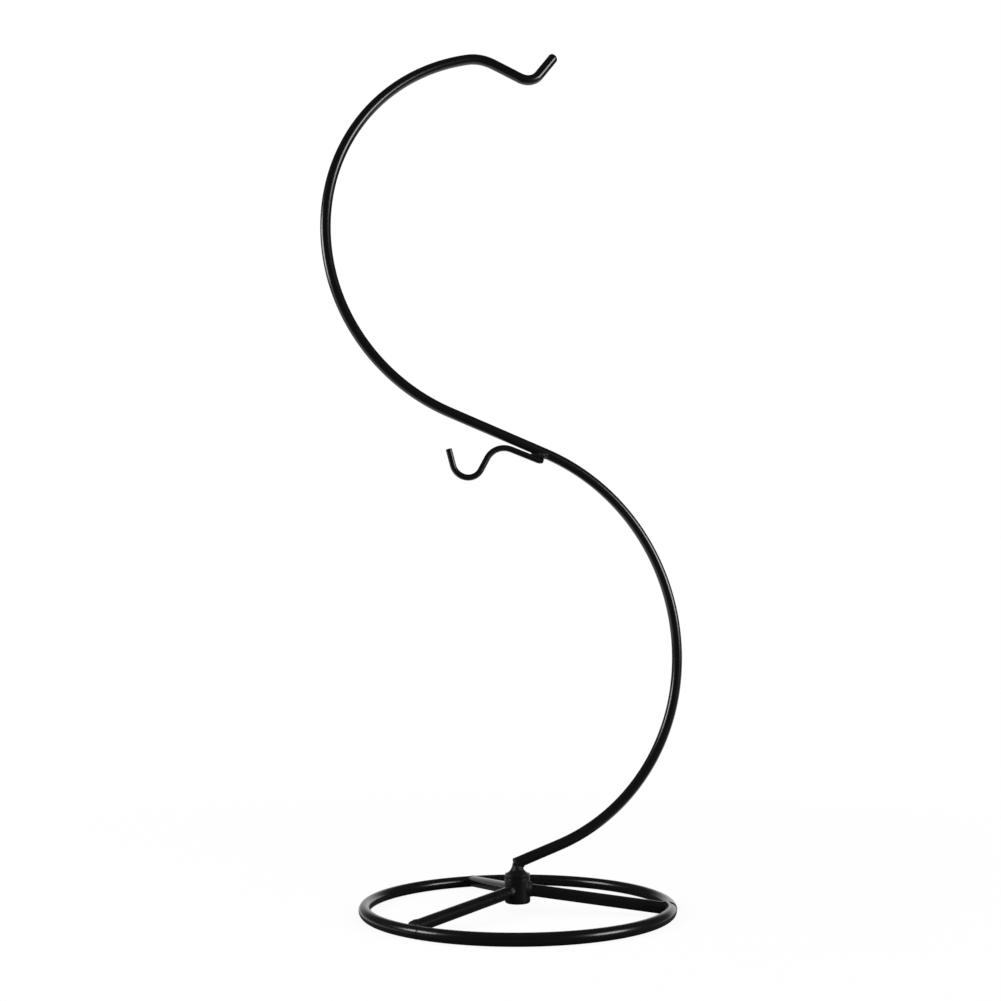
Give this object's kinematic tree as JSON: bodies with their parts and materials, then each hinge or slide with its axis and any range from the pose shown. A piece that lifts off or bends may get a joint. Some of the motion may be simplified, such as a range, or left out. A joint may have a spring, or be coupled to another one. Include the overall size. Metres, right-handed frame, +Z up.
{
  "type": "ornament hanging stand",
  "caption": "Free-standing black wire stand: an S-shaped rod with an upper and a lower hook, screwed into a spoked ring base, for hanging glass ornaments.",
  "frame": {"origin": "on the table plane, under the centre of the base ring", "axes": "+Z up along the screw; +X to the side that the rod's lower bowl bulges to; +Y to the back, square to the rod's plane"},
  "size_m": [0.1642, 0.1298, 0.3835],
  "materials": {
    "black_paint": "smooth semi-gloss black paint over steel wire"
  },
  "bodies": {
    "base": {"base_ring": "black_paint", "ring_seam_weld": "black_paint", "spoke_back": "black_paint", "spoke_left": "black_paint", "spoke_right": "black_paint", "socket_weld_back": "black_paint", "socket_weld_left": "black_paint", "socket_weld_right": "black_paint", "rim_weld_back": "black_paint", "rim_weld_left": "black_paint", "rim_weld_right": "black_paint", "hub_socket": "black_paint"},
    "upright": {"screw_stud": "black_paint", "foot_weld": "black_paint", "s_rod": "black_paint", "lower_hook": "black_paint", "hook_weld": "black_paint"}
  },
  "joints": [
    {"name": "upright_screw", "type": "hinge", "parent": "base", "child": "upright", "pos_m": [0, 0, 0.0135], "axis": [0, 0, 1], "range_deg": [0, 3060]}
  ]
}
